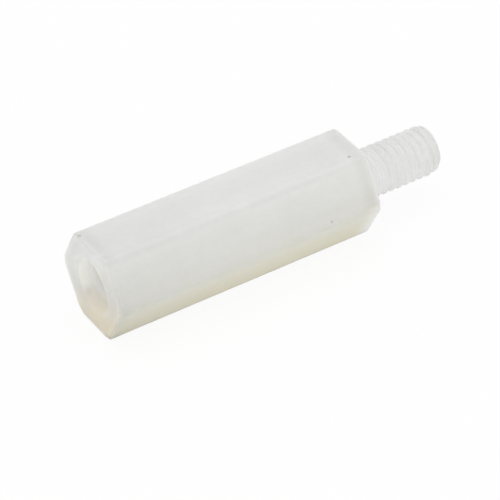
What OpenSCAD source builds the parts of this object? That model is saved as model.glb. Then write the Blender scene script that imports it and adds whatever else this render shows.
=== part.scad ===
// Male-female hex standoff, one nylon piece lying on a flat of its hexagon.
// Its axis runs along X. The blind threaded hole opens towards -X and the stud points towards +X.
// The origin is on that axis, in the plane of the shoulder that a board seats on.
// The thread itself isn't cut: the hole has its crest diameter, and the stud has its crest diameter.

/* [Hexagonal body] */
// Width across the flats
across_flats = 5.5; // [5:0.1:8]
// Length from the open end's face to the shoulder
body_length = 17; // [11:0.5:40]
// Radius of the six long edges
edge_radius = 0.35; // [0.1:0.05:0.6]
// How far in from the corners the chamfer at each end reaches
corner_cut = 0.2; // [0.15:0.05:0.4]
// Angle between the chamfer at each end and that end's face
corner_cut_angle = 30; // [15:5:60]

/* [Threaded hole] */
// Diameter at the crests of the hole's thread
hole_diameter = 2.5; // [2:0.05:3]
// Depth of the full diameter, from the open end's face
hole_depth = 8; // [3:0.5:12]
// Included angle of the cone that ends the hole
hole_point_angle = 118; // [90:2:150]
// Diameter of the countersink at the mouth
countersink_diameter = 3.5; // [3:0.05:4.2]
// Included angle of the countersink
countersink_angle = 90; // [60:5:120]

/* [Threaded stud] */
// Diameter at the crests of the stud's thread
stud_diameter = 2.95; // [2:0.05:4]
// Length from the shoulder to the tip
stud_length = 5.4; // [3:0.1:12]
// Height and width of the chamfer at the tip
tip_chamfer = 0.3; // [0.1:0.05:0.8]

/* [Hidden] */

// Corners of the hexagon and the chamfer that trims them
sides = 6;
side_angle = 360 / sides;
corner_radius = across_flats / 2 / cos(side_angle / 2);
edge_centre = corner_radius - edge_radius / cos(side_angle / 2);
face_radius = corner_radius - corner_cut;
corner_cut_height = corner_cut * tan(corner_cut_angle);

// Hole and countersink
hole_radius = hole_diameter / 2;
hole_point_height = hole_radius / tan(hole_point_angle / 2);
countersink_radius = countersink_diameter / 2;
countersink_slope = tan(countersink_angle / 2);
countersink_depth = (countersink_radius - hole_radius) / countersink_slope;

// Stud
stud_radius = stud_diameter / 2;

// How far a cut runs out past its face, and how far the stud reaches into the body
overrun = 0.5;
stud_root = 1;

// How far each long edge's round stands proud of its flats, so that they cross and don't only touch
edge_overlap = 0.00002;

// Smoothness of the round forms
round_fn = 120;

// One long edge: its flats meet it where the circle touches them.
function edge_point(corner, side) =
    let (middle = side_angle * (corner + 0.5), normal = middle + side * side_angle / 2)
    [
        edge_centre * cos(middle) + edge_radius * cos(normal),
        edge_centre * sin(middle) + edge_radius * sin(normal),
    ];

// Hexagon with a flat square to +X and a round of edge_radius at each corner.
module body_section() {
    polygon([for (corner = [0 : sides - 1], side = [-1, 1]) edge_point(corner, side)]);
    for (corner = [0 : sides - 1])
        rotate(side_angle * (corner + 0.5))
            translate([edge_centre, 0])
                circle(r = edge_radius + edge_overlap, $fn = round_fn);
}

// Bar that a chamfer at each end trims at the corners alone.
module body_bar() {
    intersection() {
        linear_extrude(height = body_length)
            body_section();
        rotate_extrude($fn = round_fn)
            polygon([
                [0, 0],
                [face_radius, 0],
                [corner_radius, corner_cut_height],
                [corner_radius, body_length - corner_cut_height],
                [face_radius, body_length],
                [0, body_length],
            ]);
    }
}

// Blind hole, from its countersink down to the cone that ends it.
module hole() {
    rotate_extrude($fn = round_fn)
        polygon([
            [0, -overrun],
            [countersink_radius + overrun * countersink_slope, -overrun],
            [hole_radius, countersink_depth],
            [hole_radius, hole_depth],
            [0, hole_depth + hole_point_height],
        ]);
}

// Stud, from its root inside the body to its chamfered tip.
module stud() {
    rotate_extrude($fn = round_fn)
        polygon([
            [0, -stud_root],
            [stud_radius, -stud_root],
            [stud_radius, stud_length - tip_chamfer],
            [stud_radius - tip_chamfer, stud_length],
            [0, stud_length],
        ]);
}

// Lays a form that stands on +Z along +X, with a flat of the hexagon down.
module lay_down() {
    rotate([0, 90, 0])
        children();
}

module standoff() {
    color("ghostwhite")
        lay_down() {
            difference() {
                translate([0, 0, -body_length])
                    body_bar();
                translate([0, 0, -body_length])
                    hole();
            }
            stud();
        }
}

standoff();
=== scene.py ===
"""Dresses the hex standoff: one nylon piece with a threaded hole at one end and a threaded stud at the other.

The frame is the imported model's, in metres. The axis runs along X, the hole opens towards -X, the stud points
towards +X, and the origin is on the axis in the shoulder's plane. Shapes are drawn in millimetres and scaled
once.
"""

import functools
import logging
import math
import operator
from collections.abc import Callable, Iterable
from dataclasses import dataclass
from enum import Enum
from typing import Any, Union

import bmesh
import bpy
from bmesh.types import BMEdge, BMesh, BMVert
from mathutils import Matrix, Vector


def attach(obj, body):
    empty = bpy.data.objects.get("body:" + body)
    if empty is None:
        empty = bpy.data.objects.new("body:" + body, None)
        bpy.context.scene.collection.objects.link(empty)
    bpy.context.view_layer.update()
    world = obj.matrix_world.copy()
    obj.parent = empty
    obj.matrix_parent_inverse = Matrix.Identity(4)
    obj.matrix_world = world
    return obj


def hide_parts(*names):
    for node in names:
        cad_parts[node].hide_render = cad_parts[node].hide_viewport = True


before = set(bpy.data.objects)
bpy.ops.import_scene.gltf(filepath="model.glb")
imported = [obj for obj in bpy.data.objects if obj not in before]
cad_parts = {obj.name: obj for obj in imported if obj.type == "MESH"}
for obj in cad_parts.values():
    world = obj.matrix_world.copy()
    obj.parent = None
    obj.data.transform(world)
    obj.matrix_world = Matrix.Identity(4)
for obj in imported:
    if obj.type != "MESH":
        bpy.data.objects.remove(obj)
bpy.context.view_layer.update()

LOG = logging.getLogger("hex_standoff")

MILLIMETRE = 0.001
NODE_NAME = "standoff"
BODY_NAME = "root"
AXIS = Vector((1.0, 0.0, 0.0))
CENTRE = Vector((0.0, 0.0, 0.0))
# Shared sizes, and the gaps within which points count as one, in millimetres
ACROSS_FLATS = 5.5
BODY_LENGTH = 17.0
WELD_GAP = 0.002
JOIN_GAP = 0.0005
PLANE_GAP = 0.0005
CUT_GAP = 1e-6
# Hexagon, and the steps of a rounded edge
SIDES = 6
SIDE_TURN = math.tau / SIDES
ROUND_STEPS = 4
WHITE = (1.0, 1.0, 1.0)
# How often light bounces, which is often because the nylon is milky
DIFFUSE_BOUNCES = 24
ALL_BOUNCES = 28

Colour = tuple[float, float, float]
Operand = Union["Signal", float]
Paint = Union["Signal", Colour]


# -------- Skin drawing --------


@dataclass(frozen=True)
class Ring:
    """One circle round the axis, in millimetres."""

    place: float
    radius: float


class Skin:
    """An open tube of the standoff's skin round the X axis, in millimetres."""

    def __init__(self) -> None:
        """Starts an empty skin."""
        self.bm: BMesh = bmesh.new()

    def open_edges(self, place: float, reach: float = math.inf, inner: float = 0.0) -> list[BMEdge]:
        """Finds the open edges that lie in one plane square to the axis.

        Args:
            place: Where the plane crosses the axis.
            reach: Largest distance from the axis.
            inner: Smallest distance from the axis.

        Returns:
            The edges, in no particular order.
        """
        found = []
        for edge in self.bm.edges:
            if not edge.is_boundary and edge.link_faces:
                continue
            in_plane = all(abs(vert.co.x - place) < PLANE_GAP for vert in edge.verts)
            middle = (edge.verts[0].co + edge.verts[1].co) / 2
            if in_plane and inner <= distance_from_axis(middle) <= reach:
                found.append(edge)
        return found

    def draw_out(self, edges: list[BMEdge], reshape: Callable[[Vector], Vector]) -> list[BMEdge]:
        """Extrudes a loop of edges and puts its new vertices in their places.

        Args:
            edges: The open loop.
            reshape: Gives a new vertex's place from its old one.

        Returns:
            The new open loop.
        """
        made = bmesh.ops.extrude_edge_only(self.bm, edges=edges)["geom"]
        new_verts = {item for item in made if isinstance(item, BMVert)}
        for vert in new_verts:
            vert.co = reshape(vert.co)
        return [item for item in made if isinstance(item, BMEdge) and set(item.verts) <= new_verts]

    def draw_rings(self, edges: list[BMEdge], rings: Iterable[Ring]) -> list[BMEdge]:
        """Extrudes a loop of edges through circles in turn, keeping each vertex at its own angle.

        Args:
            edges: The open loop.
            rings: The circles, in order.

        Returns:
            The last open loop.
        """
        for ring in rings:
            edges = self.draw_out(edges, lambda place, ring=ring: at_radius(place, ring.radius, ring.place))
        return edges

    def draw_step(self, edges: list[BMEdge], along: float, inward: float) -> list[BMEdge]:
        """Extrudes a loop of edges by a step towards +X and a step towards the axis."""
        return self.draw_out(edges, lambda co: at_radius(co, distance_from_axis(co) - inward, co.x + along))

    def close_pole(self, edges: list[BMEdge], place: float) -> None:
        """Closes a loop of edges at a point on the axis.

        Args:
            edges: The open loop.
            place: Where the point is on the axis.
        """
        last = self.draw_rings(edges, [Ring(place, 0.0)])
        verts = list({vert for edge in last for vert in edge.verts})
        bmesh.ops.pointmerge(self.bm, verts=verts, merge_co=AXIS * place)

    def cut_beyond(self, place: float, towards: float) -> None:
        """Cuts off what lies beyond a plane square to the axis.

        Args:
            place: Where the plane crosses the axis.
            towards: 1 cuts off the side towards +X, and -1 the side towards -X.
        """
        everything = [*self.bm.verts, *self.bm.edges, *self.bm.faces]
        bmesh.ops.bisect_plane(
            self.bm,
            geom=everything,
            dist=CUT_GAP,
            plane_co=AXIS * place,
            plane_no=AXIS * towards,
            clear_outer=True,
        )

    def limit(self, limits: Callable[[Vector], tuple[float, float]]) -> None:
        """Keeps every vertex between two outlines.

        Args:
            limits: Gives the lowest and highest radius at a point.
        """
        for vert in self.bm.verts:
            low, high = limits(vert.co)
            radius = distance_from_axis(vert.co)
            vert.co = at_radius(vert.co, min(max(radius, low), high), vert.co.x)

    def take(self, other: "Skin") -> None:
        """Moves another skin's faces into this one.

        Args:
            other: The other skin, which is used up.
        """
        carrier = bpy.data.meshes.new("carrier")
        other.bm.to_mesh(carrier)
        other.bm.free()
        self.bm.from_mesh(carrier)
        bpy.data.meshes.remove(carrier)

    def fill_between(self, *loops: list[BMEdge]) -> None:
        """Fills the flat ring between two open loops, one inside the other."""
        edges = [edge for loop in loops for edge in loop]
        bmesh.ops.triangle_fill(self.bm, edges=edges, use_beauty=True, normal=AXIS)

    def put_in_order(self) -> None:
        """Sorts the vertices and faces by place, because the operators' own order changes from run to run."""
        for index, vert in enumerate(sorted(self.bm.verts, key=lambda vert: vert.co[:])):
            vert.index = index
        for index, face in enumerate(sorted(self.bm.faces, key=lambda face: face.calc_center_bounds()[:])):
            face.index = index
        self.bm.verts.sort()
        self.bm.faces.sort()


def distance_from_axis(place: Vector) -> float:
    """Gives a point's distance from the X axis."""
    return math.hypot(place.y, place.z)


def at_radius(place: Vector, radius: float, along: float) -> Vector:
    """Moves a point to a radius and a place along the axis, at its own angle.

    Args:
        place: The point.
        radius: The new distance from the axis.
        along: The new place along the axis.

    Returns:
        The moved point.
    """
    far = distance_from_axis(place)
    if far == 0.0:
        return Vector((along, 0.0, 0.0))
    return Vector((along, place.y * radius / far, place.z * radius / far))


def put_in_scene(name: str, data: bpy.types.ID) -> bpy.types.Object:
    """Makes an object and links it to the scene.

    Args:
        name: Its name.
        data: Its mesh, light or camera.

    Returns:
        The object, at the origin.
    """
    made = bpy.data.objects.new(name, data)
    bpy.context.scene.collection.objects.link(made)
    return made


def quarter_round(radius: float) -> list[tuple[float, float]]:
    """Gives a rounded edge's points, each as its way along the first face and its drop from it."""
    turns = [math.pi / 2 * step / ROUND_STEPS for step in range(ROUND_STEPS + 1)]
    return [(radius * math.sin(turn), radius * (1 - math.cos(turn))) for turn in turns]


# -------- Threads --------


@dataclass(frozen=True)
class ThreadForm:
    """A right-hand metric thread with softened crests and roots, whose root is the wider one in a hole."""

    root_radius: float
    crest_radius: float
    pitch: float = 0.5
    steps_per_turn: int = 80
    lead_turns: int = 2
    outline: tuple[tuple[float, float], ...] = (
        (0.00, 0.00),
        (0.06, 0.02),
        (0.13, 0.10),
        (0.27, 0.50),
        (0.40, 0.88),
        (0.46, 0.98),
        (0.52, 1.00),
        (0.58, 0.98),
        (0.64, 0.88),
        (0.77, 0.50),
        (0.91, 0.10),
        (0.98, 0.02),
        (1.00, 0.00),
    )

    def radius_at(self, height: float) -> float:
        """Gives the radius at a height of the outline, 0 at the root and 1 at the crest."""
        return self.root_radius + height * (self.crest_radius - self.root_radius)

    def wind(self, start: float, end: float) -> Skin:
        """Winds one pitch of the outline round the axis until it covers a length.

        Args:
            start: Where the length begins on the axis.
            end: Where it ends.

        Returns:
            The wound skin, longer than the length at each end.
        """
        skin = Skin()
        first = start - self.lead_turns * self.pitch
        turns = math.ceil((end - first) / self.pitch) + 1
        points = [(first + share * self.pitch, 0.0, self.radius_at(height)) for share, height in self.outline]
        verts = [skin.bm.verts.new(point) for point in points]
        edges = [skin.bm.edges.new(pair) for pair in zip(verts, verts[1:])]
        bmesh.ops.spin(
            skin.bm,
            geom=verts + edges,
            cent=CENTRE,
            axis=AXIS,
            dvec=AXIS * (self.pitch / self.steps_per_turn),
            angle=math.tau,
            steps=self.steps_per_turn,
            use_merge=False,
            use_duplicate=False,
        )
        one_turn = [*skin.bm.verts, *skin.bm.edges, *skin.bm.faces]
        for turn in range(1, turns):
            copy = bmesh.ops.duplicate(skin.bm, geom=one_turn)["geom"]
            moved = [item for item in copy if isinstance(item, BMVert)]
            bmesh.ops.translate(skin.bm, vec=AXIS * (self.pitch * turn), verts=moved)
        bmesh.ops.remove_doubles(skin.bm, verts=skin.bm.verts, dist=WELD_GAP)
        return skin


# -------- Sub-assemblies --------


@dataclass(frozen=True)
class HexBar:
    """The hexagonal bar, with its long edges rounded and its corners trimmed at both ends."""

    across_flats: float = ACROSS_FLATS
    length: float = BODY_LENGTH
    edge_radius: float = 0.35
    edge_steps: int = 8
    flat_cuts: int = 13
    corner_cut: float = 0.2
    corner_cut_angle: float = math.radians(30.0)
    rim_round: float = 0.05
    cut_stations: tuple[float, ...] = (0.55, 0.7, 0.85, 1.0, 1.15)
    inner_stations: tuple[float, ...] = (0.32, 0.6, 1.2, 2.4, 4.2, 6.3)
    station_digits: int = 5

    @property
    def corner_radius(self) -> float:
        """Distance from the axis to a sharp corner."""
        return self.across_flats / 2 / math.cos(SIDE_TURN / 2)

    @property
    def corner_cut_height(self) -> float:
        """How far along the axis the trimming of the corners reaches."""
        return self.corner_cut * math.tan(self.corner_cut_angle)

    def stations(self) -> list[float]:
        """Places the bar's rings.

        Returns:
            Each ring's distance from the nearer end, from the end to the middle of the bar.
        """
        rim = [self.rim_round - along for along, _ in quarter_round(self.rim_round)]
        cut = [self.corner_cut_height * share for share in self.cut_stations]
        return sorted({round(value, self.station_digits) for value in (*rim, *cut, *self.inner_stations)})

    def trimmed(self, place: Vector, depth: float) -> Vector:
        """Brings a point of the plain bar in to the trimmed corners and the rounded rim.

        Args:
            place: The point on the plain bar.
            depth: Its distance from the nearer end.

        Returns:
            The point on the finished bar.
        """
        cone = self.corner_radius - self.corner_cut * max(0.0, 1 - depth / self.corner_cut_height)
        radius = min(distance_from_axis(place), cone)
        if depth < self.rim_round:
            lack = self.rim_round - depth
            radius -= self.rim_round - math.sqrt(max(0.0, self.rim_round**2 - lack**2))
        return at_radius(place, radius, place.x)

    def section(self, skin: Skin, place: float) -> list[BMEdge]:
        """Draws the rounded hexagon as an open loop.

        Args:
            skin: The skin to draw in.
            place: Where its plane crosses the axis.

        Returns:
            The loop's edges.
        """
        turn = Matrix.Translation(AXIS * place) @ Matrix.Rotation(math.pi / 2, 4, "Y")
        radius = self.corner_radius
        bmesh.ops.create_circle(skin.bm, cap_ends=True, segments=SIDES, radius=radius, matrix=turn)
        corner = next(iter(skin.bm.verts)).co
        lay_flat = Matrix.Rotation(-math.atan2(corner.z, corner.y) % SIDE_TURN, 4, "X")
        bmesh.ops.transform(skin.bm, matrix=lay_flat, verts=skin.bm.verts)
        bmesh.ops.bevel(
            skin.bm,
            geom=skin.bm.verts[:],
            offset=self.edge_radius * math.tan(SIDE_TURN / 2),
            offset_type="OFFSET",
            affect="VERTICES",
            segments=self.edge_steps,
            profile=0.5,
            material=-1,
        )
        flats = [edge for edge in skin.bm.edges if edge.calc_length() > self.edge_radius]
        bmesh.ops.subdivide_edges(skin.bm, edges=flats, cuts=self.flat_cuts)
        bmesh.ops.delete(skin.bm, geom=skin.bm.faces[:], context="FACES_ONLY")
        return skin.bm.edges[:]

    def build(self) -> Skin:
        """Draws the bar, open at both ends.

        Returns:
            The bar's skin.
        """
        skin = Skin()
        by_end = self.stations()
        depths = [*by_end, self.length / 2, *(self.length - value for value in reversed(by_end))]
        edges = self.section(skin, -self.length)
        for depth in depths[1:]:
            along = depth - self.length
            edges = skin.draw_out(edges, lambda place, along=along: Vector((along, place.y, place.z)))
        for vert in skin.bm.verts:
            from_open_end = vert.co.x + self.length
            vert.co = self.trimmed(vert.co, min(from_open_end, self.length - from_open_end))
        return skin


@dataclass(frozen=True)
class TappedHole:
    """The blind hole, from its countersink along its thread to the cone that ends it."""

    mouth: float = -BODY_LENGTH
    thread: ThreadForm = ThreadForm(root_radius=1.5, crest_radius=1.25)
    countersink_radius: float = 1.75
    mouth_cut: float = 0.1
    mouth_outline: tuple[tuple[float, float], ...] = (
        (0.075, -0.073),
        (0.04, -0.026),
        (0.016, 0.022),
        (0.004, 0.072),
        (0.0, 0.12),
    )
    thread_start: float = 1.0
    thread_depth: float = 6.8
    thread_overrun: float = 0.3
    run_out: float = 0.35
    full_depth: float = 8.0
    point_angle: float = math.radians(118.0)
    cone_lead: float = 0.03
    cone_rings: tuple[float, ...] = (0.97, 0.7, 0.4, 0.12)

    def limits(self, place: Vector) -> tuple[float, float]:
        """Bounds the wall at a point.

        Args:
            place: The point.

        Returns:
            The lowest and the highest radius.
        """
        depth = place.x - self.mouth
        sink = self.countersink_radius - depth
        begun = (depth - self.thread_start) / self.run_out
        left = (self.thread_depth - depth) / self.run_out
        fade = min(max(min(begun, left), 0.0), 1.0)
        wall = self.thread.crest_radius
        high = wall + fade * (self.thread.root_radius - wall)
        return max(wall, sink), max(high, sink)

    def build(self) -> Skin:
        """Draws the hole, open at its mouth.

        Returns:
            The hole's skin.
        """
        cut_in = self.mouth + self.mouth_cut
        cut_off = self.mouth + self.thread_depth + self.thread_overrun
        skin = self.thread.wind(cut_in, cut_off)
        skin.limit(self.limits)
        skin.cut_beyond(cut_in, -1)
        skin.cut_beyond(cut_off, 1)
        rim = [Ring(self.mouth + depth, self.countersink_radius + out) for depth, out in self.mouth_outline]
        skin.draw_rings(skin.open_edges(cut_in), rim)
        wall = self.thread.crest_radius
        bottom = self.mouth + self.full_depth
        point_height = wall / math.tan(self.point_angle / 2)
        cone = [Ring(bottom + point_height * (1 - share), wall * share) for share in self.cone_rings]
        last = skin.draw_rings(skin.open_edges(cut_off), [Ring(bottom - self.cone_lead, wall), *cone])
        skin.close_pole(last, bottom + point_height)
        return skin


@dataclass(frozen=True)
class Stud:
    """The threaded stud, from the fillet at the shoulder to its chamfered tip."""

    thread: ThreadForm = ThreadForm(root_radius=1.3, crest_radius=1.475)
    length: float = 5.4
    neck_radius: float = 1.39
    neck_length: float = 0.42
    run_in: float = 0.2
    fillet: float = 0.1
    least_chamfer: float = 0.04
    most_chamfer: float = 0.55
    ridge_start: float = math.radians(100.0)
    tip_round: float = 0.1
    tip_steps: tuple[tuple[float, float], ...] = (
        (0.045, 0.03),
        (0.033, 0.04),
        (0.017, 0.045),
        (0.005, 0.05),
        (0.0, 0.08),
    )
    tip_rings: tuple[float, ...] = (0.45, 0.28, 0.1)

    def chamfer(self, place: Vector) -> float:
        """Gives the tip's chamfer at a point: it is least where the thread's ridge starts."""
        turn = math.atan2(place.z, place.y) - self.ridge_start
        return self.least_chamfer + (self.most_chamfer - self.least_chamfer) * (1 - math.cos(turn)) / 2

    def limits(self, place: Vector) -> tuple[float, float]:
        """Bounds the stud at a point.

        Args:
            place: The point.

        Returns:
            The lowest and the highest radius.
        """
        grown = min(max((place.x - self.neck_length) / self.run_in, 0.0), 1.0)
        low = self.neck_radius + grown * (self.thread.root_radius - self.neck_radius)
        high = self.neck_radius + grown * (self.thread.crest_radius - self.neck_radius)
        nose = self.thread.crest_radius - self.chamfer(place) + (self.length - place.x)
        return min(low, nose), min(high, nose)

    def build(self) -> Skin:
        """Draws the stud, open at the shoulder.

        Returns:
            The stud's skin.
        """
        cut_in = self.neck_length / 2
        cut_off = self.length - self.tip_round
        skin = self.thread.wind(cut_in, cut_off)
        skin.limit(self.limits)
        skin.cut_beyond(cut_in, -1)
        skin.cut_beyond(cut_off, 1)
        rounding = quarter_round(self.fillet)
        foot = [Ring(self.fillet - along, self.neck_radius + drop) for along, drop in rounding]
        skin.draw_rings(skin.open_edges(cut_in), foot)
        nose = skin.open_edges(cut_off)
        for along, inward in self.tip_steps:
            nose = skin.draw_step(nose, along, inward)
        face = [Ring(self.length, self.thread.crest_radius * share) for share in self.tip_rings]
        skin.close_pole(skin.draw_rings(nose, face), self.length)
        return skin


@dataclass(frozen=True)
class Standoff:
    """The whole standoff: bar, hole and stud in one closed skin."""

    bar: HexBar = HexBar()
    hole: TappedHole = TappedHole()
    stud: Stud = Stud()
    name: str = "nylon_standoff"
    rim_band: float = 0.06

    def build(self) -> bpy.types.Object:
        """Joins the three forms and makes the object.

        Returns:
            The object, at the origin, with its place in its mesh.
        """
        skin = self.bar.build()
        skin.take(self.hole.build())
        skin.take(self.stud.build())
        between = (self.hole.countersink_radius + self.bar.across_flats / 2) / 2
        for place in (-self.bar.length, 0.0):
            own = skin.open_edges(place, reach=between)
            band = skin.draw_step(skin.open_edges(place, inner=between), 0.0, self.rim_band)
            skin.fill_between(skin.draw_rings(band, [Ring(place, between)]), own)
        bmesh.ops.remove_doubles(skin.bm, verts=skin.bm.verts, dist=JOIN_GAP)
        bmesh.ops.recalc_face_normals(skin.bm, faces=skin.bm.faces)
        bmesh.ops.scale(skin.bm, vec=Vector((MILLIMETRE,) * 3), verts=skin.bm.verts)
        for face in skin.bm.faces:
            face.smooth = True
        skin.put_in_order()
        open_count = sum(not edge.is_manifold for edge in skin.bm.edges)
        LOG.info("skin: %d faces, %d edges that aren't closed", len(skin.bm.faces), open_count)
        mesh = bpy.data.meshes.new(self.name)
        skin.bm.to_mesh(mesh)
        skin.bm.free()
        return put_in_scene(self.name, mesh)


# -------- Shader wiring --------


class Signal:
    """A node's socket that takes part in Python expressions."""

    def __init__(self, graph: "Graph", socket: bpy.types.NodeSocket) -> None:
        """Wraps an output socket of a graph."""
        self.graph = graph
        self.socket = socket

    def __add__(self, other: Operand) -> "Signal":
        """Adds a number or a signal."""
        return self.graph.maths("ADD", self, other)

    def __radd__(self, other: float) -> "Signal":
        """Adds this signal to a number."""
        return self.graph.maths("ADD", other, self)

    def __sub__(self, other: Operand) -> "Signal":
        """Takes a number or a signal away."""
        return self.graph.maths("SUBTRACT", self, other)

    def __rsub__(self, other: float) -> "Signal":
        """Takes this signal away from a number."""
        return self.graph.maths("SUBTRACT", other, self)

    def __mul__(self, other: Operand) -> "Signal":
        """Multiplies by a number or a signal."""
        return self.graph.maths("MULTIPLY", self, other)

    def __rmul__(self, other: float) -> "Signal":
        """Multiplies a number by this signal."""
        return self.graph.maths("MULTIPLY", other, self)

    def __abs__(self) -> "Signal":
        """Drops the sign."""
        return self.graph.maths("ABSOLUTE", self)

    def at_most(self, other: Operand) -> "Signal":
        """Gives the smaller of the two."""
        return self.graph.maths("MINIMUM", self, other)

    def at_least(self, other: Operand) -> "Signal":
        """Gives the larger of the two."""
        return self.graph.maths("MAXIMUM", self, other)


class Graph:
    """The nodes of one material or of the world."""

    def __init__(self, tree: bpy.types.NodeTree) -> None:
        """Starts from an empty tree."""
        tree.nodes.clear()
        self.tree = tree

    def node(
        self,
        kind: str,
        settings: dict[str, Any] | None = None,
        inputs: dict[int | str, Any] | None = None,
        output: int | str = 0,
    ) -> Signal | None:
        """Makes a node, applies its settings and then fills its sockets.

        Args:
            kind: The node's type.
            settings: The node's own properties, with a ramp's stops as (place, colour) pairs under "stops".
            inputs: A value or a signal for each socket, by name or by number.
            output: The output socket wanted.

        Returns:
            The output socket, or None for a node that has none.
        """
        made = self.tree.nodes.new(kind)
        for name, value in (settings or {}).items():
            if name == "stops":
                self.set_stops(made.color_ramp, value)
            else:
                setattr(made, name, value)
        for key, value in (inputs or {}).items():
            if isinstance(value, Signal):
                self.tree.links.new(value.socket, made.inputs[key])
            else:
                made.inputs[key].default_value = value
        return Signal(self, made.outputs[output]) if len(made.outputs) else None

    def set_stops(self, ramp: bpy.types.ColorRamp, stops: Iterable[tuple[float, Colour]]) -> None:
        """Puts a ramp's stops in place.

        Args:
            ramp: The ramp, which has two stops of its own.
            stops: The wanted (place, colour) pairs, from low to high.
        """
        own = len(ramp.elements)
        for index, (place, colour) in enumerate(stops):
            stop = ramp.elements[index] if index < own else ramp.elements.new(place)
            stop.position = place
            stop.color = opaque(colour)

    def maths(self, operation: str, *values: Operand) -> Signal:
        """Adds a Math node that is fed with numbers or signals."""
        return self.node("ShaderNodeMath", {"operation": operation}, dict(enumerate(values)))

    def vector_maths(self, operation: str, *values: Paint) -> Signal:
        """Adds a Vector Math node that is fed with vectors or signals and gives a number."""
        return self.node("ShaderNodeVectorMath", {"operation": operation}, dict(enumerate(values)), "Value")

    def mix(self, share: Operand, first: Paint, second: Paint, blend: str = "MIX") -> Signal:
        """Mixes two colours.

        Args:
            share: How much of the second there is, from 0 to 1.
            first: A colour or a signal.
            second: A colour or a signal.
            blend: The way that they are mixed.

        Returns:
            The mixed colour.
        """
        colours = [value if isinstance(value, Signal) else opaque(value) for value in (first, second)]
        settings = {"data_type": "RGBA", "blend_type": blend, "clamp_factor": True}
        # Sockets 6 and 7 take the colours, and socket 2 gives the mixed one
        return self.node("ShaderNodeMix", settings, {0: share, 6: colours[0], 7: colours[1]}, 2)

    def times(self, first: Paint, second: Paint) -> Signal:
        """Multiplies two colours."""
        return self.mix(1.0, first, second, "MULTIPLY")

    def rgb(self, red: Signal, green: Signal, blue: Signal) -> Signal:
        """Makes a colour from its three parts."""
        return self.node("ShaderNodeCombineColor", {}, {0: red, 1: green, 2: blue})

    def noise(self, place: Signal, size: float, layers: float, rough: float) -> Signal:
        """Adds a cloudy pattern centred on 0.5, whose largest clouds have a size in millimetres."""
        inputs = {"Vector": place, "Scale": 1 / (size * MILLIMETRE), "Detail": layers, "Roughness": rough}
        return self.node("ShaderNodeTexNoise", {"noise_dimensions": "3D"}, inputs)

    def bump(self, height: Signal, strength: float, depth: float, under: Signal | None = None) -> Signal:
        """Adds relief to the surface.

        Args:
            height: The relief, from 0 to 1.
            strength: How much of it shows.
            depth: How deep it is, in millimetres.
            under: The relief that it lies on.

        Returns:
            The new normal.
        """
        inputs = {"Strength": strength, "Distance": depth * MILLIMETRE, "Height": height}
        if under is not None:
            inputs["Normal"] = under
        return self.node("ShaderNodeBump", {}, inputs)

    def stretched(self, place: Signal, scale: Colour) -> Signal:
        """Multiplies each of a pattern's coordinates by a number of its own."""
        return self.node("ShaderNodeMapping", {"vector_type": "POINT"}, {"Vector": place, "Scale": scale})

    def rise(self, value: Signal, start: float, end: float, soft: bool = True) -> Signal:
        """Turns a value into a step.

        Args:
            value: The value.
            start: Where the step is 0.
            end: Where the step is 1, which may be below its start.
            soft: Whether the step is rounded at its start and its end.

        Returns:
            The step, from 0 to 1.
        """
        kind = "SMOOTHSTEP" if soft else "LINEAR"
        settings = {"data_type": "FLOAT", "interpolation_type": kind, "clamp": True}
        (low, at_low), (high, at_high) = sorted(((start, 0.0), (end, 1.0)))
        inputs = {0: value, 1: low, 2: high, 3: at_low, 4: at_high}
        return self.node("ShaderNodeMapRange", settings, inputs)


def opaque(colour: Colour) -> tuple[float, float, float, float]:
    """Gives a colour its full alpha."""
    return (*colour, 1.0)


def new_material(name: str) -> tuple[bpy.types.Material, Graph]:
    """Makes a material with an empty tree.

    Args:
        name: Its name.

    Returns:
        The material and its nodes.
    """
    material = bpy.data.materials.new(name)
    material.use_nodes = True
    return material, Graph(material.node_tree)


# -------- Places on the standoff's surface --------


class Measure(Enum):
    """How a point is placed: by a sum of its X, Y and Z, each with its own share, or by a distance."""

    ALONG = (1.0, 0.0, 0.0)
    ACROSS = (0.0, 1.0, 0.0)
    HEIGHT = (0.0, 0.0, 1.0)
    LIFT = (0.0, 0.35, 1.0)
    STUD_LIFT = (0.0, 0.466, 1.0)
    FAR_SIDE = (0.0, 1.0, 0.5)
    FROM_AXIS = "distance from the axis"
    TO_FLATS = "distance from the axis, square to the nearest flat"


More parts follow.
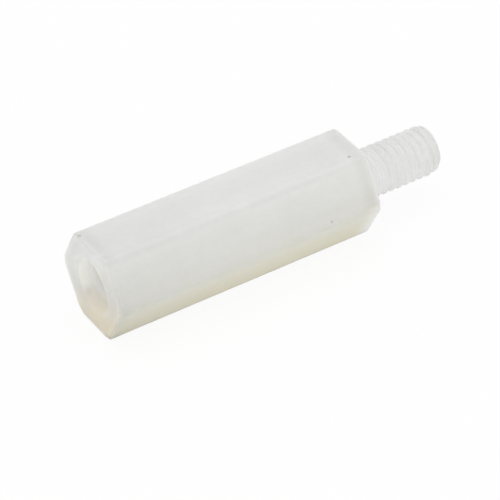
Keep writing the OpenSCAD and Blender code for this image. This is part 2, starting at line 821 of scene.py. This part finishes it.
class Zone(Enum):
    """A part of the surface: its measure, where its edge starts and where it is whole, in millimetres.

    Its edge is soft, unless its last value is False, which makes it straight.
    """

    # Open end
    OPEN_FACE = (Measure.ALONG, -16.85, -17.0)
    OPEN_LINE = (Measure.ALONG, -16.88, -17.0)
    OPEN_STRIP_IN = (Measure.ALONG, -16.98, -16.9)
    OPEN_STRIP_OUT = (Measure.ALONG, -16.65, -16.8)
    OPEN_RIM = (Measure.ALONG, -15.95, -17.0)
    OPEN_LENGTH = (Measure.ALONG, -13.5, -16.5)
    OPEN_HALF = (Measure.ALONG, -7.0, -17.0, False)
    FROM_OPEN_END = (Measure.ALONG, -17.0, -9.0)
    # Shoulder
    SHOULDER_LINE = (Measure.ALONG, -0.2, 0.0)
    SHOULDER_RIM = (Measure.ALONG, -1.25, 0.0)
    SHOULDER_CORNER = (Measure.ALONG, -1.25, -0.3)
    SHOULDER_LENGTH = (Measure.ALONG, -5.0, -1.5)
    # Bar, from the axis outwards
    BROW = (Measure.TO_FLATS, 1.8, 2.4)
    OUTER_WALL = (Measure.TO_FLATS, 2.5, 2.74)
    RIM = (Measure.TO_FLATS, 2.62, 2.74)
    FLATS = (Measure.TO_FLATS, 2.7, 2.74)
    LONG_EDGES = (Measure.FROM_AXIS, 2.92, 3.1)
    # Bar, from the top downwards
    TOP = (Measure.LIFT, 1.9, 2.3)
    BELOW_TOP = (Measure.LIFT, 2.6, 1.8)
    HIGH_FRONT = (Measure.LIFT, 0.2, 1.0)
    FRONT = (Measure.LIFT, 1.6, 0.6)
    OVER_LOW_FRONT = (Measure.LIFT, -1.4, -0.4)
    LOW_FRONT = (Measure.LIFT, -1.4, -1.9)
    LOW = (Measure.LIFT, -0.9, -2.9)
    OVER = (Measure.HEIGHT, -1.0, 1.0)
    UNDER = (Measure.HEIGHT, 1.0, -1.0)
    UPPER_FLATS = (Measure.HEIGHT, 0.0, 0.35)
    LOWER_FLATS = (Measure.HEIGHT, 0.35, 0.0)
    SOLE = (Measure.HEIGHT, -2.2, -2.5)
    # Bar, from side to side
    FAR_BROW = (Measure.ACROSS, 0.5, 1.5)
    NEAR_SIDE = (Measure.ACROSS, -1.0, -1.9)
    NEAR_FACE = (Measure.ACROSS, -0.8, -1.7)
    # Hole
    MOUTH_DEPTH = (Measure.ALONG, -15.8, -16.5)
    MOUTH_WALL = (Measure.FROM_AXIS, 1.9, 1.7)
    MOUTH_HIGH = (Measure.LIFT, -1.5, -0.3)
    MOUTH_LOW = (Measure.LIFT, -0.3, -1.5)
    MOUTH_LOWEST = (Measure.HEIGHT, -0.75, -1.2)
    MOUTH_NEAR = (Measure.ACROSS, -0.2, -1.0)
    LIP_DEPTH = (Measure.ALONG, -16.2, -16.5)
    LIP_WALL = (Measure.FROM_AXIS, 2.0, 1.75)
    LIP_FAR = (Measure.ACROSS, 0.4, 1.1)
    LIP_TOP = (Measure.HEIGHT, 0.8, 0.2)
    LIP_FOOT = (Measure.HEIGHT, -1.1, -0.6)
    HOLE_WALL = (Measure.FROM_AXIS, 1.72, 1.55)
    HOLE_END = (Measure.ALONG, -4.0, -4.5)
    HOLE_DEPTH = (Measure.ALONG, -16.6, -15.9)
    HOLE_FAR = (Measure.FAR_SIDE, -0.2, 1.2)
    # Stud
    STUD = (Measure.ALONG, -0.2, 0.2)
    STUD_SKIN = (Measure.ALONG, 0.0, 0.2)
    STUD_FOOT = (Measure.ALONG, 0.6, 0.2)
    FIRST_GROOVES = (Measure.ALONG, 2.0, 1.0)
    NOSE = (Measure.ALONG, 4.4, 5.3)
    NOSE_LENGTH = (Measure.ALONG, 3.6, 4.7)
    STUD_BELOW = (Measure.STUD_LIFT, 0.3, -1.0)
    STUD_FAR = (Measure.ACROSS, -0.4, 0.5)
    ROOTS = (Measure.FROM_AXIS, 1.46, 1.38)
    ROOTS_START = (Measure.ALONG, 0.0, 0.3)
    ROOTS_END = (Measure.ALONG, 5.3, 5.0)

    def __init__(self, measure: Measure, start: float, end: float, soft: bool = True) -> None:
        """Takes a member's values apart."""
        self.measure = measure
        self.start = start
        self.end = end
        self.soft = soft


FRONT_ZONES = (Zone.BELOW_TOP, Zone.OVER_LOW_FRONT)
STRIP_ZONES = (Zone.FLATS, Zone.OPEN_STRIP_IN, Zone.OPEN_STRIP_OUT)
MOUTH_ZONES = (Zone.MOUTH_DEPTH, Zone.MOUTH_WALL)


class Patch(Enum):
    """How much painted shade darkens a place, or painted light lightens it where it is below 0, and the zones
    that all meet there.
    """

    def __init__(self, shade: float, *zones: Zone) -> None:
        """Takes a member's values apart."""
        self.shade = shade
        self.zones = zones


class BarPatch(Patch):
    """Where painted shade darkens the bar and the hole's lip, or painted light lightens them: on the rims, the
    long edges, the sole and the faces.
    """

    OPEN_HALF = (0.05, Zone.OPEN_HALF)
    OPEN_FACE = (0.01, Zone.OPEN_FACE)
    OPEN_FACE_UNDER = (0.045, Zone.OPEN_FACE, Zone.UNDER)
    OPEN_FACE_NEAR = (0.07, Zone.OPEN_FACE, Zone.NEAR_SIDE)
    OPEN_FACE_NEAR_UNDER = (-0.049, Zone.OPEN_FACE, Zone.NEAR_SIDE, Zone.UNDER)
    OPEN_RIM = (0.13, Zone.OUTER_WALL, Zone.OPEN_RIM)
    OPEN_RIM_FRONT = (-0.052, Zone.OUTER_WALL, Zone.OPEN_RIM, *FRONT_ZONES)
    OPEN_RIM_HIGH = (-0.0325, Zone.OUTER_WALL, Zone.OPEN_RIM, *FRONT_ZONES, Zone.HIGH_FRONT)
    OPEN_LINE = (0.06, Zone.RIM, Zone.OPEN_LINE)
    OPEN_LINE_FRONT = (-0.03, Zone.RIM, Zone.OPEN_LINE, *FRONT_ZONES)
    OPEN_LINE_LOW = (0.024, Zone.RIM, Zone.OPEN_LINE, Zone.LOW_FRONT)
    OPEN_STRIP_FRONT = (0.032, *STRIP_ZONES, *FRONT_ZONES)
    OPEN_STRIP_LOW = (0.032, *STRIP_ZONES, Zone.LOW_FRONT)
    BROW = (0.07, Zone.BROW, Zone.OPEN_FACE, Zone.FAR_BROW, Zone.OVER)
    LIP = (-0.055, Zone.LIP_DEPTH, Zone.LIP_WALL, Zone.LIP_FAR, Zone.LIP_TOP, Zone.LIP_FOOT)
    LONG_EDGES = (0.05, Zone.LONG_EDGES)
    FRONT = (0.027, Zone.FRONT, Zone.OPEN_LENGTH)
    LOW = (-0.05, Zone.LOW, Zone.FROM_OPEN_END)
    SOLE = (0.03, Zone.SOLE)
    OPEN_SOLE = (0.05, Zone.SOLE, Zone.OPEN_FACE)
    TOP = (0.022, Zone.TOP, Zone.SHOULDER_LENGTH)
    SHOULDER_RIM = (0.13, Zone.OUTER_WALL, Zone.SHOULDER_RIM, Zone.UPPER_FLATS)
    SHOULDER_LINE = (0.078, Zone.OUTER_WALL, Zone.SHOULDER_LINE, Zone.LOWER_FLATS)


class StudPatch(Patch):
    """Where painted shade darkens the stud, or painted light lightens it."""

    FOOT = (0.1, Zone.STUD_FOOT)
    FIRST_GROOVES = (-0.05, Zone.FIRST_GROOVES)
    FAR_SIDE = (0.035, Zone.STUD_FAR)
    NOSE = (0.085, Zone.NOSE)
    NOSE_BELOW = (0.05, Zone.NOSE_LENGTH, Zone.STUD_BELOW)


@dataclass(frozen=True)
class Cloud:
    """A cloudy pattern: its largest clouds' size in millimetres, its strength and its finer layers."""

    size: float
    strength: float
    layers: float = 3.0
    rough: float = 0.5


@dataclass(frozen=True)
class Grain:
    """A relief: its pattern, how deep it is in millimetres, and how it is stretched along the axis."""

    cloud: Cloud
    depth: float
    drawn_out: float = 1.0


@dataclass(frozen=True)
class Speck:
    """A dark grain, or a soft blot of painted shade, with its centre and its radius in millimetres."""

    place: tuple[float, float, float]
    size: float
    strength: float


class Surface:
    """The standoff's surface in a material's nodes, where each measure and each zone is made once."""

    def __init__(self, graph: Graph) -> None:
        """Starts from the piece's own coordinates."""
        self.graph = graph
        self.place = graph.node("ShaderNodeTexCoord", {}, {}, "Object")

    def towards(self, lean: Colour) -> Signal:
        """Gives the sum of a point's coordinates, each by its own share, in millimetres."""
        return self.graph.vector_maths("DOT_PRODUCT", self.place, tuple(part / MILLIMETRE for part in lean))

    @functools.cache
    def measure(self, kind: Measure) -> Signal:
        """Gives a measure, in millimetres."""
        makers = {Measure.FROM_AXIS: self.from_axis, Measure.TO_FLATS: self.to_flats}
        return makers[kind]() if kind in makers else self.towards(kind.value)

    def from_axis(self) -> Signal:
        """Gives the distance from the axis, in millimetres."""
        across = self.graph.stretched(self.place, (0.0, 1 / MILLIMETRE, 1 / MILLIMETRE))
        return self.graph.vector_maths("LENGTH", across)

    def to_flats(self) -> Signal:
        """Measures square to the flats.

        Returns:
            The distance from the axis square to the nearest flat, in millimetres.
        """
        turns = [SIDE_TURN * (side + 0.5) for side in range(SIDES // 2)]
        first, second, third = (abs(self.towards((0.0, math.cos(turn), math.sin(turn)))) for turn in turns)
        return first.at_least(second).at_least(third)

    @functools.cache
    def zone(self, zone: Zone) -> Signal:
        """Gives 1 in a zone and 0 outside it."""
        return self.graph.rise(self.measure(zone.measure), zone.start, zone.end, zone.soft)

    def within(self, *zones: Zone) -> Signal:
        """Gives 1 where several zones all meet, and 0 outside."""
        return functools.reduce(operator.mul, map(self.zone, zones))

    def shade(self, patches: type[Patch]) -> Signal:
        """Gives how much painted shade darkens the surface for a set of patches, less any painted light."""
        return functools.reduce(operator.add, (self.within(*patch.zones) * patch.shade for patch in patches))

    def cloud(self, cloud: Cloud) -> Signal:
        """Gives a cloudy pattern, centred on 0."""
        return (self.graph.noise(self.place, cloud.size, cloud.layers, cloud.rough) - 0.5) * cloud.strength


# -------- Finishes --------


@dataclass(frozen=True)
class NaturalNylon:
    """Undyed, milky nylon as it leaves the mould, with painted light and painted shade laid into its colour.
    """

    name: str = "natural_nylon"
    # The bar's colour at each lift, in millimetres, from the sole to the top: the nylon's tone with painted
    # shade and painted warm floor light laid in by lift, warmer low down; and how far the lift drifts
    tones: tuple[tuple[float, Colour], ...] = (
        (-2.9, (0.740, 0.713, 0.585)),
        (-2.0, (0.736, 0.715, 0.592)),
        (-1.3, (0.737, 0.732, 0.655)),
        (-0.6, (0.753, 0.748, 0.718)),
        (0.6, (0.786, 0.793, 0.760)),
        (1.7, (0.797, 0.800, 0.782)),
        (2.4, (0.762, 0.762, 0.752)),
    )
    drift: Cloud = Cloud(2.4, 1.2, 2.0)
    # The painted highlight on the low edge at the shoulder: its colour, and how much of it shows
    shoulder_highlight: Colour = (0.790, 0.788, 0.760)
    shoulder_highlight_share: float = 0.8
    # The stud's colour on its axis, its fall for each millimetre of lift, which paints shade high up and light
    # low down, and the palest that it may be
    stud_tone: Colour = (0.750, 0.750, 0.742)
    stud_fall: float = 0.036
    stud_limit: float = 0.784
    # Painted light on the hole's wall: what the wall is multiplied by, how much more on its far side, and the
    # palest that it may be
    hole_light_gain: Colour = (1.38, 1.40, 1.56)
    hole_side: float = 0.13
    hole_ceiling: Colour = (0.985, 0.98, 0.951)
    # What multiplies the colour as painted warm light low in the open end, on its near side and on the near
    # lip, and as painted light in the thread's roots
    mouth_warm_light: Colour = (1.085, 1.04, 1.02)
    near_warm_light: Colour = (1.0, 0.99, 0.965)
    lip_warm_light: Colour = (1.0, 0.99, 0.95)
    root_light_gain: Colour = (1.09, 1.09, 1.09)
    clouds: Cloud = Cloud(1.7, 0.045, 2.0)
    mottle: Cloud = Cloud(0.3, 0.07, 3.0, 0.6)
    roughness: float = 0.42
    dullness: Cloud = Cloud(0.7, 0.22)
    stud_dullness: float = 0.2
    # A fine satin grain, faint drag lines along the axis and soft waves, from the lowest to the topmost
    grains: tuple[Grain, ...] = (
        Grain(Cloud(0.12, 0.22, 3.0, 0.6), 0.02),
        Grain(Cloud(0.16, 0.15, 2.0), 0.02, 0.06),
        Grain(Cloud(1.6, 0.25, 1.0), 0.06),
    )
    refraction: float = 1.53
    scatter: Colour = (1.0, 0.98, 0.94)
    scatter_depth: float = 1.4
    speck_tone: Colour = (0.3050, 0.3050, 0.2961)
    speck_core: float = 0.3
    # Three dark grains, then blots of painted shade: a painted contact shadow at the near bottom corner of the
    # open end, and two painted shades inside the hole's mouth
    specks: tuple[Speck, ...] = (
        Speck((-0.88, -1.22, 2.75), 0.13, 0.65),
        Speck((-3.27, -2.989, 0.322), 0.1, 0.45),
        Speck((-16.88, 1.13, 2.74), 0.155, 0.6),
        Speck((-16.6, -1.5, -2.75), 0.75, 0.3),
        Speck((-16.73, 0.98, -1.06), 0.32, 0.11),
        Speck((-16.83, 0.98, -1.3), 0.6, 0.05),
    )

    def bar_tone(self, surface: Surface) -> Signal:
        """Builds the bar's colour: the nylon's tone with painted shade and painted warm light, warmer towards
        the bottom, and a painted highlight low at the shoulder.

        Args:
            surface: The surface.

        Returns:
            The colour.
        """
        low, high = self.tones[0][0], self.tones[-1][0]
        stops = [((value - low) / (high - low), tone) for value, tone in self.tones]
        lift = surface.measure(Measure.LIFT) + surface.cloud(self.drift)
        share = surface.graph.rise(lift, low, high, soft=False)
        body = surface.graph.node("ShaderNodeValToRGB", {"stops": stops}, {0: share})
        corner = surface.within(Zone.SHOULDER_CORNER, Zone.LOWER_FLATS) * self.shoulder_highlight_share
        return surface.graph.mix(corner, body, self.shoulder_highlight)

    def stud_colour(self, surface: Surface) -> Signal:
        """Builds the stud's colour, with painted light below and in its first grooves, and painted shade at
        its foot, its far side and its nose.

        Args:
            surface: The surface.

        Returns:
            The colour.
        """
        fall = surface.measure(Measure.STUD_LIFT) * self.stud_fall
        shade = surface.shade(StudPatch)
        return surface.graph.rgb(*((part - fall).at_most(self.stud_limit) - shade for part in self.stud_tone))

    def shaded(self, surface: Surface) -> Signal:
        """Builds the colour with the painted shade and painted light of the rims, the faces and the ends, and
        with its clouds.

        Args:
            surface: The surface.

        Returns:
            The colour.
        """
        own = surface.graph.mix(surface.zone(Zone.STUD), self.bar_tone(surface), self.stud_colour(surface))
        clouds = surface.cloud(self.clouds) + surface.cloud(self.mottle)
        level = 1.0 - surface.shade(BarPatch) + clouds
        return surface.graph.times(own, surface.graph.rgb(level, level, level))

    def paint_warm_light(self, surface: Surface, under: Signal) -> Signal:
        """Paints warm light on the low half of the open end and of the hole's mouth, and on the near side of
        both.

        Args:
            surface: The surface.
            under: The colour so far.

        Returns:
            The warmed colour.
        """
        bottom = surface.within(Zone.MOUTH_LOWEST, *MOUTH_ZONES)
        low = surface.within(Zone.MOUTH_LOW, Zone.OPEN_FACE).at_least(bottom)
        face = surface.within(Zone.NEAR_FACE, Zone.MOUTH_HIGH, Zone.OPEN_FACE)
        lip = surface.within(Zone.MOUTH_NEAR, Zone.MOUTH_HIGH, *MOUTH_ZONES)
        for share, warmth in ((low, self.mouth_warm_light), (face, self.near_warm_light), (lip, self.lip_warm_light)):
            under = surface.graph.mix(share, under, surface.graph.times(under, warmth))
        return under

    def paint_soaked_light(self, surface: Surface, under: Signal) -> Signal:
        """Paints light on the hole's wall and in the thread's roots, standing for light that soaks in from all
        round.

        Args:
            surface: The surface.
            under: The colour so far.

        Returns:
            The lightened colour.
        """
        graph = surface.graph
        side = 1.0 + surface.zone(Zone.HOLE_FAR) * self.hole_side
        gain = graph.mix(surface.zone(Zone.HOLE_DEPTH), WHITE, self.hole_light_gain)
        lit = graph.times(graph.times(under, gain), graph.rgb(side, side, side))
        capped = graph.mix(1.0, lit, self.hole_ceiling, "DARKEN")
        in_hole = graph.mix(surface.within(Zone.HOLE_WALL, Zone.HOLE_END), under, capped)
        roots = surface.within(Zone.ROOTS, Zone.ROOTS_START, Zone.ROOTS_END)
        return graph.mix(roots, in_hole, graph.times(in_hole, self.root_light_gain))

    def add_specks(self, surface: Surface, under: Signal) -> Signal:
        """Lays the dark grains, and the blots of painted shade, over a colour.

        Args:
            surface: The surface.
            under: The colour so far.

        Returns:
            The colour with its specks.
        """
        for speck in self.specks:
            spot = tuple(value * MILLIMETRE for value in speck.place)
            away = surface.graph.vector_maths("DISTANCE", surface.place, spot)
            size = speck.size * MILLIMETRE
            near = surface.graph.rise(away, size, size * self.speck_core)
            under = surface.graph.mix(near * speck.strength, under, self.speck_tone)
        return under

    def relief(self, surface: Surface) -> Signal:
        """Builds the surface's relief.

        Args:
            surface: The surface.

        Returns:
            The normal.
        """
        graph = surface.graph
        normal = None
        for grain in self.grains:
            cloud = grain.cloud
            place = graph.stretched(surface.place, (grain.drawn_out, 1.0, 1.0))
            pattern = graph.noise(place, cloud.size, cloud.layers, cloud.rough)
            normal = graph.bump(pattern, cloud.strength, grain.depth, normal)
        return normal

    def make(self) -> bpy.types.Material:
        """Makes the material.

        Returns:
            The material.
        """
        material, graph = new_material(self.name)
        surface = Surface(graph)
        colour = self.paint_soaked_light(surface, self.paint_warm_light(surface, self.shaded(surface)))
        rough = self.roughness + surface.zone(Zone.STUD_SKIN) * self.stud_dullness
        inputs = {
            "Base Color": self.add_specks(surface, colour),
            "Roughness": rough + surface.cloud(self.dullness),
            "Normal": self.relief(surface),
            "IOR": self.refraction,
            "Subsurface Weight": 1.0,
            "Subsurface Radius": self.scatter,
            "Subsurface Scale": self.scatter_depth * MILLIMETRE,
        }
        shader = graph.node("ShaderNodeBsdfPrincipled", {"subsurface_method": "RANDOM_WALK"}, inputs)
        graph.node("ShaderNodeOutputMaterial", {}, {"Surface": shader})
        return material


def seen_directly(graph: Graph) -> Signal:
    """Tells what is seen from the light that falls on the object.

    Args:
        graph: The nodes to add to.

    Returns:
        1 for what the camera sees, also in a gloss or through glass, and 0 for the light on the object.
    """
    kinds = ("Is Camera Ray", "Is Glossy Ray", "Is Transmission Ray")
    first, second, third = (graph.node("ShaderNodeLightPath", {}, {}, kind) for kind in kinds)
    return (first + second + third).at_most(1.0)


@dataclass(frozen=True)
class PaleFloor:
    """A plain white table top that keeps a faint shadow."""

    name: str = "pale_floor"
    colour: Colour = (0.97, 0.97, 0.97)
    glow: float = 0.9

    def make(self) -> bpy.types.Material:
        """Makes the material.

        Returns:
            The material.
        """
        material, graph = new_material(self.name)
        matt = graph.node("ShaderNodeBsdfDiffuse", {}, {"Color": opaque(self.colour)})
        white = graph.node("ShaderNodeEmission", {}, {"Color": opaque(WHITE), "Strength": 1.0})
        glow = seen_directly(graph) * self.glow
        mixed = graph.node("ShaderNodeMixShader", {}, {0: glow, 1: matt, 2: white})
        graph.node("ShaderNodeOutputMaterial", {}, {"Surface": mixed})
        return material


# -------- Studio --------


class Lamp(Enum):
    """The studio's soft lamps: place in metres, side in metres and share of the level on what faces it."""

    TOP = ((-0.05, 0.12, 0.6), 0.5, 0.14)
    FRONT = ((-0.43, -0.23, 0.12), 0.3, 0.02)

    def __init__(self, place: tuple[float, float, float], side: float, share: float) -> None:
        """Takes a member's values apart."""
        self.place = Vector(place)
        self.side = side
        self.share = share

    @property
    def power(self) -> float:
        """Watts that give its share on a white surface that faces it."""
        return self.share * math.pi**2 * self.place.length**2


@dataclass(frozen=True)
class Studio:
    """The floor, the lamps and the white surroundings."""

    floor_height: float = -ACROSS_FLATS / 2 * MILLIMETRE
    floor_radius: float = 2.0
    floor_sides: int = 64
    sky: float = 0.86

    def lay_floor(self) -> None:
        """Lays the floor under the standoff."""
        bm = bmesh.new()
        level = Matrix.Translation(Vector((0.0, 0.0, self.floor_height)))
        bmesh.ops.create_circle(
            bm, cap_ends=True, segments=self.floor_sides, radius=self.floor_radius, matrix=level
        )
        mesh = bpy.data.meshes.new("floor")
        bm.to_mesh(mesh)
        bm.free()
        mesh.materials.append(PaleFloor().make())
        put_in_scene("floor", mesh)

    def hang_lamps(self) -> None:
        """Hangs the lamps, turned towards the standoff."""
        for lamp in Lamp:
            light = bpy.data.lights.new(lamp.name.lower(), "AREA")
            light.shape = "SQUARE"
            light.size = lamp.side
            light.energy = lamp.power
            hung = put_in_scene(light.name, light)
            hung.location = lamp.place
            hung.rotation_mode = "QUATERNION"
            hung.rotation_quaternion = (-lamp.place).to_track_quat("-Z", "Y")

    def light_world(self) -> None:
        """Surrounds the standoff with even light that looks white."""
        world = bpy.data.worlds.new("surroundings")
        world.use_nodes = True
        graph = Graph(world.node_tree)
        strength = self.sky + seen_directly(graph) * (1 - self.sky)
        around = graph.node("ShaderNodeBackground", {}, {"Color": opaque(WHITE), "Strength": strength})
        graph.node("ShaderNodeOutputWorld", {}, {"Surface": around})
        bpy.context.scene.world = world

    def build(self) -> None:
        """Builds the whole studio."""
        self.lay_floor()
        self.hang_lamps()
        self.light_world()


@dataclass(frozen=True)
class BenchCamera:
    """A long lens that looks down on the open end and the front of the standoff."""

    name: str = "bench_camera"
    azimuth: float = math.radians(-30.813)
    elevation: float = math.radians(38.073)
    roll: float = math.radians(-2.456)
    distance: float = 0.157484
    lens: float = 201.306
    sensor: float = 36.0
    target: tuple[float, float, float] = (-0.00686, 0.0, -0.00199)
    nearest: float = 0.01
    farthest: float = 10.0

    def build(self) -> None:
        """Makes the scene's camera."""
        turn = Matrix.Rotation(self.azimuth, 4, "Z")
        tilt = Matrix.Rotation(math.pi / 2 - self.elevation, 4, "X")
        roll = Matrix.Rotation(self.roll, 4, "Z")
        back = Matrix.Translation(Vector((0.0, 0.0, self.distance)))
        data = bpy.data.cameras.new(self.name)
        data.lens = self.lens
        data.sensor_width = self.sensor
        data.clip_start = self.nearest
        data.clip_end = self.farthest
        camera = put_in_scene(self.name, data)
        camera.matrix_world = Matrix.Translation(Vector(self.target)) @ turn @ tilt @ roll @ back
        bpy.context.scene.camera = camera


# -------- Assembly --------


def main() -> None:
    """Builds the standoff, the studio and the camera."""
    logging.basicConfig(level=logging.INFO, format="%(message)s")
    standoff = Standoff().build()
    standoff.data.materials.append(NaturalNylon().make())
    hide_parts(NODE_NAME)
    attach(standoff, BODY_NAME)
    LOG.info("%s rides on %s and stands for %s", standoff.name, BODY_NAME, NODE_NAME)
    Studio().build()
    BenchCamera().build()
    LOG.info("the studio and the camera are in place")
    scene = bpy.context.scene
    scene.view_settings.view_transform = "Standard"
    scene.cycles.diffuse_bounces = DIFFUSE_BOUNCES
    scene.cycles.max_bounces = ALL_BOUNCES


if __name__ == "__main__":
    main()
